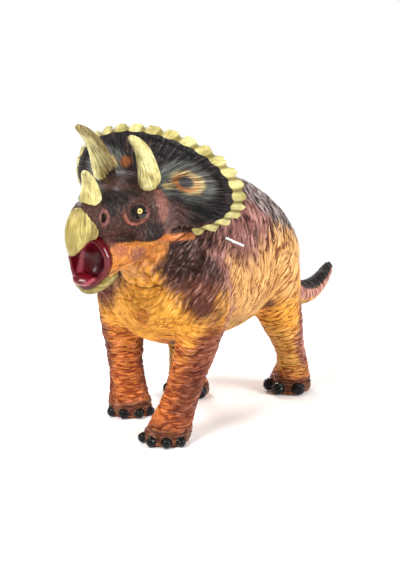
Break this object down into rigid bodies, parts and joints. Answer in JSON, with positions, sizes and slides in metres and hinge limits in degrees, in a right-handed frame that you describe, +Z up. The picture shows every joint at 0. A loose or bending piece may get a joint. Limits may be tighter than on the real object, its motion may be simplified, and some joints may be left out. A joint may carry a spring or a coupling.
{
  "type": "toy dinosaur figure",
  "caption": "Soft vinyl horned dinosaur figure in a walking pose with a scalloped frill, brow and nose horns, a beaked open mouth and a tapering tail.",
  "frame": {"origin": "on the ground plane, under the middle of the figure's box", "axes": "+Y from the head to the tail along the figure's length, so that the head looks along -Y, +X to the animal's left, +Z up from the soles to the back"},
  "size_m": [0.0928, 0.2458, 0.1459],
  "materials": {
    "mauve_vinyl": "soft vinyl, satin, airbrushed from charcoal on the back through mauve brown to yellow orange on the belly",
    "orange_vinyl": "soft vinyl, satin, orange with brown shading in the folds and black painted nails",
    "horn_yellow_vinyl": "soft vinyl, satin, pale yellow with olive brown streaks",
    "mouth_red_vinyl": "glossy dark crimson paint",
    "eye_black": "glossy black paint with a yellow ring",
    "tag_white_nylon": "translucent white nylon, smooth"
  },
  "bodies": {
    "root": {"torso": "mauve_vinyl", "head": "mauve_vinyl", "tail": "mauve_vinyl", "left_foreleg": "orange_vinyl", "right_foreleg": "orange_vinyl", "left_hind_leg": "orange_vinyl", "right_hind_leg": "orange_vinyl", "left_brow_horn": "horn_yellow_vinyl", "right_brow_horn": "horn_yellow_vinyl", "nose_horn": "horn_yellow_vinyl", "upper_beak": "horn_yellow_vinyl", "lower_beak": "horn_yellow_vinyl", "mouth_liner": "mouth_red_vinyl", "left_eye": "eye_black", "right_eye": "eye_black", "tag_pin": "tag_white_nylon"}
  },
  "joints": []
}
